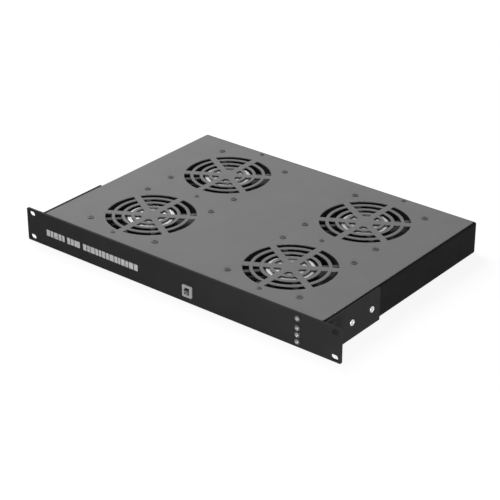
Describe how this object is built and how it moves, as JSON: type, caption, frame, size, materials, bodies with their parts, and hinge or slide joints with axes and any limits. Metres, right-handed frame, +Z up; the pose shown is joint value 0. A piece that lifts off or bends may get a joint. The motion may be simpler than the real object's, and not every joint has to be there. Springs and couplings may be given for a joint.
{
  "type": "rack fan tray",
  "caption": "One-unit rack fan tray: black folded chassis with slotted front panel, grey punched cover over axial fans, rocker switch and indicator column.",
  "frame": {"origin": "centre of the rectangle of rack slots, on the rear face of the front panel, which bears on the rack rails", "axes": "+X to the right seen from the front, +Y to the rear of the chassis, +Z up"},
  "size_m": [0.4826, 0.3253, 0.044],
  "materials": {
    "panel_black": "black powder coat, fine texture",
    "chassis_black": "black powder coat on folded sheet",
    "cover_grey": "mid grey powder coat, satin",
    "zinc_sheet": "zinc-plated sheet",
    "bearing_bronze": "sintered bronze sleeve",
    "stator_steel": "lacquered laminations",
    "cap_aluminium": "bright turned disc",
    "screw_black": "black oxide screw",
    "screw_bright": "bright nickel-plated screw",
    "switch_light": "pale grey moulded bezel",
    "rocker_dark": "dark moulded rocker",
    "tab_brass": "tinned brass tab",
    "bezel_chrome": "bright bezel",
    "led_clear": "water-clear lens",
    "board_green": "solder-masked board",
    "inlet_black": "black moulded inlet",
    "pin_nickel": "nickel-plated blade",
    "terminal_white": "natural nylon strip",
    "lead_black": "black sheathed lead",
    "lead_earth": "green and yellow insulated wire",
    "clip_nylon": "nylon saddle",
    "fan_housing": "black die-cast fan frame",
    "fan_blades": "black stove enamel on pressed steel",
    "shaft_steel": "ground steel shaft"
  },
  "bodies": {
    "chassis": {"front_panel": "panel_black", "side_wall_left": "chassis_black", "side_wall_right": "chassis_black", "floor_sheet": "chassis_black", "rear_panel": "chassis_black", "top_cover": "cover_grey", "panel_bracket_left": "panel_black", "panel_bracket_right": "panel_black", "front_rail": "zinc_sheet", "cross_member": "zinc_sheet", "fan_bearings": "bearing_bronze", "fan_stators": "stator_steel", "motor_caps": "cap_aluminium", "fan_screws": "screw_black", "cover_screws": "screw_black", "side_screws": "screw_bright", "inlet_screws": "screw_black", "switch_body": "switch_light", "switch_tabs": "tab_brass", "led_bezels": "bezel_chrome", "led_lenses": "led_clear", "led_board": "board_green", "power_inlet": "inlet_black", "inlet_pins": "pin_nickel", "terminal_block": "terminal_white", "terminal_screws": "tab_brass", "fan_leads": "lead_black", "switch_leads": "lead_black", "supply_leads": "lead_black", "earth_lead": "lead_earth", "indicator_lead": "lead_black", "earth_stud": "zinc_sheet", "cable_clips": "clip_nylon", "fan_housing_front_left": "fan_housing", "fan_spider_front_left": "fan_housing", "fan_housing_front_right": "fan_housing", "fan_spider_front_right": "fan_housing", "fan_housing_rear_left": "fan_housing", "fan_spider_rear_left": "fan_housing", "fan_housing_rear_right": "fan_housing", "fan_spider_rear_right": "fan_housing"},
    "rotor_front_left": {"fan_rotor_front_left": "fan_blades", "fan_blades_front_left": "fan_blades", "fan_shaft_front_left": "shaft_steel"},
    "rotor_front_right": {"fan_rotor_front_right": "fan_blades", "fan_blades_front_right": "fan_blades", "fan_shaft_front_right": "shaft_steel"},
    "rotor_rear_left": {"fan_rotor_rear_left": "fan_blades", "fan_blades_rear_left": "fan_blades", "fan_shaft_rear_left": "shaft_steel"},
    "rotor_rear_right": {"fan_rotor_rear_right": "fan_blades", "fan_blades_rear_right": "fan_blades", "fan_shaft_rear_right": "shaft_steel"},
    "rocker": {"switch_rocker": "rocker_dark"}
  },
  "joints": [
    {"name": "spin_front_left", "type": "hinge", "parent": "chassis", "child": "rotor_front_left", "pos_m": [-0.1085, 0.08, 0], "axis": [0, 0, 1], "continuous": true},
    {"name": "spin_front_right", "type": "hinge", "parent": "chassis", "child": "rotor_front_right", "pos_m": [0.1085, 0.08, 0], "axis": [0, 0, 1], "continuous": true},
    {"name": "spin_rear_left", "type": "hinge", "parent": "chassis", "child": "rotor_rear_left", "pos_m": [-0.1085, 0.229, 0], "axis": [0, 0, 1], "continuous": true},
    {"name": "spin_rear_right", "type": "hinge", "parent": "chassis", "child": "rotor_rear_right", "pos_m": [0.1085, 0.229, 0], "axis": [0, 0, 1], "continuous": true},
    {"name": "rocker_tilt", "type": "hinge", "parent": "chassis", "child": "rocker", "pos_m": [0.0215, 0, -0.0058], "axis": [1, 0, 0], "range_deg": [-20, 0]}
  ]
}
